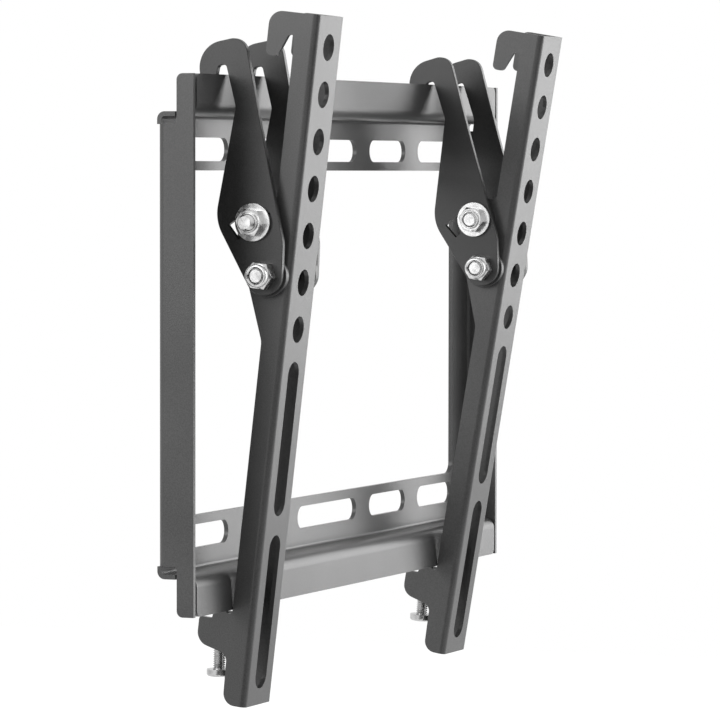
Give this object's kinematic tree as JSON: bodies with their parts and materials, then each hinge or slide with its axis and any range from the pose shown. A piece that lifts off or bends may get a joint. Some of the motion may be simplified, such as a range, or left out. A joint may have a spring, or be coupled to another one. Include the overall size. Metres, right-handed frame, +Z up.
{
  "type": "tilting tv wall bracket",
  "caption": "Tilting TV wall bracket: folded steel wall plate with a window and slotted rails, two upright slotted arms hooked on the rails, each tilted by a pair of hooked links.",
  "frame": {"origin": "middle of the wall plate, on the wall plane that its back lies on", "axes": "+Z up, +Y into the wall, -Y towards the room and the TV, +X right as seen from the room"},
  "size_m": [0.261, 0.0522, 0.2214],
  "materials": {
    "coated_steel": "dark satin powder coat",
    "zinc_plate": "bright zinc plate"
  },
  "bodies": {
    "wall_plate": {"wall_plate": "coated_steel"},
    "left_arm": {"left_arm": "coated_steel", "left_pivot_spacer_nut_side": "coated_steel", "left_pivot_spacer_head_side": "coated_steel", "left_clamp_spacer_nut_side": "coated_steel", "left_clamp_spacer_head_side": "coated_steel", "left_pivot_bolt": "zinc_plate", "left_pivot_nut": "zinc_plate", "left_clamp_bolt": "zinc_plate", "left_clamp_nut": "zinc_plate", "left_clamp_washer_nut_side": "zinc_plate", "left_clamp_washer_head_side": "zinc_plate"},
    "left_links": {"left_link_nut_side": "coated_steel", "left_link_head_side": "coated_steel"},
    "left_lock_screw": {"left_lock_screw": "zinc_plate"},
    "right_arm": {"right_arm": "coated_steel", "right_pivot_spacer_nut_side": "coated_steel", "right_pivot_spacer_head_side": "coated_steel", "right_clamp_spacer_nut_side": "coated_steel", "right_clamp_spacer_head_side": "coated_steel", "right_pivot_bolt": "zinc_plate", "right_pivot_nut": "zinc_plate", "right_clamp_bolt": "zinc_plate", "right_clamp_nut": "zinc_plate", "right_clamp_washer_nut_side": "zinc_plate", "right_clamp_washer_head_side": "zinc_plate"},
    "right_links": {"right_link_nut_side": "coated_steel", "right_link_head_side": "coated_steel"},
    "right_lock_screw": {"right_lock_screw": "zinc_plate"}
  },
  "joints": [
    {"name": "left_tilt", "type": "hinge", "parent": "wall_plate", "child": "left_arm", "pos_m": [-0.0914, -0.01175, -0.085], "axis": [1, 0, 0], "range_deg": [-6.65, 3.35]},
    {"name": "left_link_swing", "type": "hinge", "parent": "left_arm", "child": "left_links", "pos_m": [-0.0914, -0.02544, 0.02163], "axis": [1, 0, 0], "range_deg": [-8.77, 17.4]},
    {"name": "left_lock_screw_travel", "type": "slide", "parent": "left_arm", "child": "left_lock_screw", "axis": [0, -0.0201, 0.9998], "range_m": [-0.0004, 0.0056]},
    {"name": "right_tilt", "type": "hinge", "parent": "wall_plate", "child": "right_arm", "pos_m": [0.0822, -0.01175, -0.085], "axis": [1, 0, 0], "range_deg": [-9.59, 0.41]},
    {"name": "right_link_swing", "type": "hinge", "parent": "right_arm", "child": "right_links", "pos_m": [0.0822, -0.03089, 0.02079], "axis": [1, 0, 0], "range_deg": [-1.09, 25.08]},
    {"name": "right_lock_screw_travel", "type": "slide", "parent": "right_arm", "child": "right_lock_screw", "axis": [0, -0.0713, 0.9975], "range_m": [-0.0019, 0.0041]}
  ],
  "couplings": [
    {"joint": "left_link_swing", "follows": "left_tilt", "ratio": -2.6129},
    {"joint": "right_link_swing", "follows": "right_tilt", "ratio": -2.6129}
  ]
}
